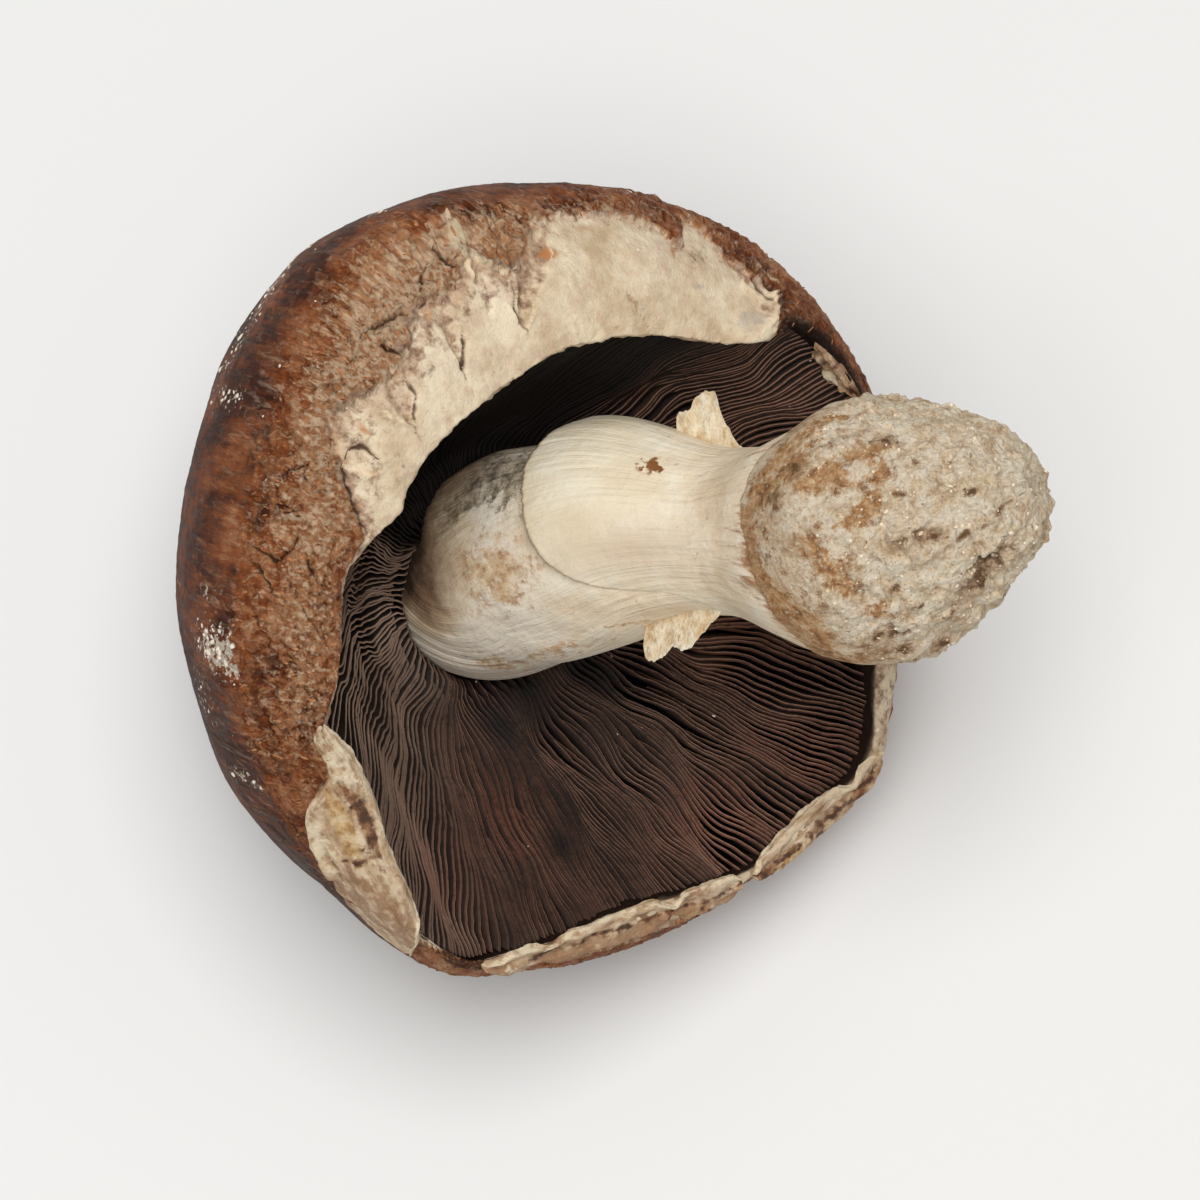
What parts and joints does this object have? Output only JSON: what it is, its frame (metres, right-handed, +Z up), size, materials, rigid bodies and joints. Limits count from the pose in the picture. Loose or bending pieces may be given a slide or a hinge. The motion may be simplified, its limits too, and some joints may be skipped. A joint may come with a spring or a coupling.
{
  "type": "brown mushroom",
  "caption": "Picked brown cap mushroom lying on the shoulder of its cap, with dark gills, a stem with a torn ring, and a crust of growing soil at its foot.",
  "frame": {"origin": "the middle of the flat that the cap's weight has pressed into its shoulder, on the ground", "axes": "+Z straight up from the ground; +X along the longest extent, to the side that the foot of the stem points to; +Y level, away from the open side of the cap"},
  "size_m": [0.1048, 0.0989, 0.0898],
  "materials": {
    "cap_skin": "dry satin skin, fibrous, cracked into scales near the margin",
    "gill_flesh": "matt, with thin paler edges",
    "stem_flesh": "matt, finely fibrous, stained brown",
    "veil_skin": "smooth matt skin",
    "soil_crust": "rough, crumbly and matt"
  },
  "bodies": {
    "root": {"cap": "cap_skin", "gills": "gill_flesh", "stem": "stem_flesh", "ring": "veil_skin", "base_crust": "soil_crust", "veil_scrap_left": "veil_skin", "veil_scrap_lower": "veil_skin", "veil_scrap_right": "veil_skin", "veil_scrap_upper": "veil_skin"}
  },
  "joints": []
}
